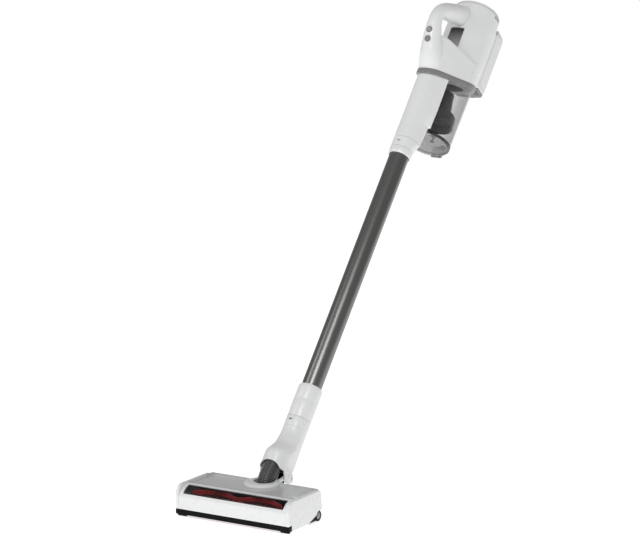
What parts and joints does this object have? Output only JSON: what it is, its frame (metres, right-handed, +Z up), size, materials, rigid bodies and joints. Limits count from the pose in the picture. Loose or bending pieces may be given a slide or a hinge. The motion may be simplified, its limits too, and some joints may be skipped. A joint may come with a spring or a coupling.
{
  "type": "cordless stick vacuum",
  "caption": "Upright battery vacuum with a slanted hand unit, clear dust bin, metal wand, tilting hose neck and a wide motorised floor head with a viewing window",
  "frame": {"origin": "middle of the floor head's flat underside, between the brush mouth and the rear edge, 3 mm above the floor plane z = 0", "axes": "+Z up from the floor, -Y the way the floor head faces, +X across the head; the wand leans back towards +Y in the Y-Z plane"},
  "size_m": [0.26, 1.0469, 0.9332],
  "materials": {
    "white_gloss": "gloss",
    "trim_grey": "satin",
    "button_grey": "matte",
    "dark_plastic": "matte",
    "black_plastic": "satin",
    "black_rubber": "matte",
    "smoked_window": "gloss",
    "clear_plastic": "gloss",
    "tinted_plastic": "gloss",
    "red_pile": "matte",
    "steel": "brushed",
    "wand_alloy": "satin",
    "board_green": "matte",
    "cell_wrap": "gloss",
    "filter_foam": "matte"
  },
  "bodies": {
    "hand_unit": {"tube_housing": "white_gloss", "upper_ring": "white_gloss", "trim_ring": "trim_grey", "body_shell": "white_gloss", "rear_shell": "white_gloss", "motor_housing": "white_gloss", "grip_panel": "button_grey", "suction_motor": "steel", "exhaust_filter": "filter_foam", "main_board": "board_green", "dust_bin": "clear_plastic", "hinge_bracket": "tinted_plastic", "lid_pin": "steel", "cyclone_tube": "dark_plastic", "mesh_filter": "steel"},
    "wand": {"wand_tube": "wand_alloy", "upper_sleeve": "white_gloss", "lower_sleeve": "white_gloss"},
    "neck": {"neck_shell": "white_gloss", "neck_ring": "white_gloss", "neck_spigot": "dark_plastic", "flex_hose": "black_plastic"},
    "turret": {"swivel_collar": "white_gloss", "hinge_pin_left": "steel", "hinge_pin_right": "steel"},
    "head": {"brush_cover": "white_gloss", "brush_window": "smoked_window", "tray_housing": "white_gloss", "side_cap_left": "white_gloss", "side_cap_right": "white_gloss", "base_plate": "black_plastic", "brush_chamber": "black_plastic", "suction_duct": "black_plastic", "brush_motor": "steel", "bearing_left": "steel", "bearing_right": "steel", "drive_belt": "black_rubber"},
    "roller": {"brush_roller": "black_plastic", "brush_pile": "red_pile", "roller_pulley": "dark_plastic"},
    "motor_shaft": {"motor_pulley": "dark_plastic"},
    "caster_left": {"front_roller_left": "dark_plastic"},
    "caster_right": {"front_roller_right": "dark_plastic"},
    "wheel_left": {"rear_wheel_left": "black_rubber"},
    "wheel_right": {"rear_wheel_right": "black_rubber"},
    "cap_slider": {"cap_latch": "dark_plastic"},
    "power_key": {"power_button": "button_grey"},
    "mode_key": {"mode_button": "button_grey"},
    "fan": {"fan_impeller": "wand_alloy"},
    "end_cap": {"exhaust_cap": "white_gloss"},
    "bin_door": {"bin_lid": "tinted_plastic"},
    "bin_catch": {"lid_latch": "black_plastic"},
    "battery": {"battery_case": "white_gloss", "battery_cell_1": "cell_wrap", "battery_cell_2": "cell_wrap", "battery_cell_3": "cell_wrap", "battery_foot": "trim_grey"},
    "battery_key": {"battery_release": "button_grey"},
    "wand_key": {"wand_release": "button_grey"},
    "neck_key": {"neck_release": "button_grey"}
  },
  "joints": [
    {"name": "wand_pull", "type": "slide", "parent": "hand_unit", "child": "wand", "axis": [0, -0.6414, -0.7672], "range_m": [0, 0.045]},
    {"name": "neck_pull", "type": "slide", "parent": "wand", "child": "neck", "axis": [0, -0.6414, -0.7672], "range_m": [0, 0.04]},
    {"name": "neck_tilt", "type": "hinge", "parent": "neck", "child": "turret", "pos_m": [0, 0.07743, 0.05773], "axis": [1, 0, 0], "range_deg": [-36, 38], "deforming": ["flex_hose"]},
    {"name": "head_swivel", "type": "hinge", "parent": "turret", "child": "head", "pos_m": [0, 0.022, 0.056], "axis": [0, 0, 1], "range_deg": [-28, 28]},
    {"name": "brush_spin", "type": "hinge", "parent": "head", "child": "roller", "pos_m": [0, -0.0575, 0.0275], "axis": [1, 0, 0], "continuous": true},
    {"name": "motor_spin", "type": "hinge", "parent": "head", "child": "motor_shaft", "pos_m": [-0.115, 0.002, 0.022], "axis": [1, 0, 0], "continuous": true},
    {"name": "caster_left_spin", "type": "hinge", "parent": "head", "child": "caster_left", "pos_m": [-0.117, -0.0814, 0.0043], "axis": [1, 0, 0], "continuous": true},
    {"name": "caster_right_spin", "type": "hinge", "parent": "head", "child": "caster_right", "pos_m": [0.117, -0.0814, 0.0043], "axis": [1, 0, 0], "continuous": true},
    {"name": "wheel_left_spin", "type": "hinge", "parent": "head", "child": "wheel_left", "pos_m": [-0.1226, 0.0224, 0.0105], "axis": [1, 0, 0], "continuous": true},
    {"name": "wheel_right_spin", "type": "hinge", "parent": "head", "child": "wheel_right", "pos_m": [0.1226, 0.0224, 0.0105], "axis": [1, 0, 0], "continuous": true},
    {"name": "cap_latch_slide", "type": "slide", "parent": "head", "child": "cap_slider", "axis": [-1, 0, 0], "range_m": [0, 0.003], "stiffness_N_per_m": 300},
    {"name": "power_press", "type": "slide", "parent": "hand_unit", "child": "power_key", "axis": [0, 0.9671, -0.2545], "range_m": [0, 0.0015], "stiffness_N_per_m": 400},
    {"name": "mode_press", "type": "slide", "parent": "hand_unit", "child": "mode_key", "axis": [0, 0.9671, -0.2545], "range_m": [0, 0.0015], "stiffness_N_per_m": 400},
    {"name": "fan_spin", "type": "hinge", "parent": "hand_unit", "child": "fan", "pos_m": [0, 0.81205, 0.79914], "axis": [0, 0.6414, 0.7672], "continuous": true},
    {"name": "cap_twist", "type": "hinge", "parent": "hand_unit", "child": "end_cap", "pos_m": [0, 0.89179, 0.89449], "axis": [0, 0.6414, 0.7672], "range_deg": [0, 25]},
    {"name": "lid_swing", "type": "hinge", "parent": "hand_unit", "child": "bin_door", "pos_m": [0, 0.71684, 0.61074], "axis": [1, 0, 0], "range_deg": [0, 95]},
    {"name": "lid_latch_press", "type": "slide", "parent": "hand_unit", "child": "bin_catch", "axis": [0, 0.7672, -0.6414], "range_m": [0, 0.0014], "stiffness_N_per_m": 400},
    {"name": "battery_pull", "type": "slide", "parent": "hand_unit", "child": "battery", "axis": [0, -0.6414, -0.7672], "range_m": [0, 0.06]},
    {"name": "battery_key_press", "type": "slide", "parent": "battery", "child": "battery_key", "axis": [0, -0.7672, 0.6414], "range_m": [0, 0.003], "stiffness_N_per_m": 400},
    {"name": "wand_key_press", "type": "slide", "parent": "hand_unit", "child": "wand_key", "axis": [0, -0.7672, 0.6414], "range_m": [0, 0.0012], "stiffness_N_per_m": 400},
    {"name": "neck_key_press", "type": "slide", "parent": "neck", "child": "neck_key", "axis": [0, -0.7672, 0.6414], "range_m": [0, 0.0015], "stiffness_N_per_m": 400}
  ],
  "couplings": [
    {"joint": "motor_spin", "follows": "brush_spin", "ratio": 1.755}
  ]
}
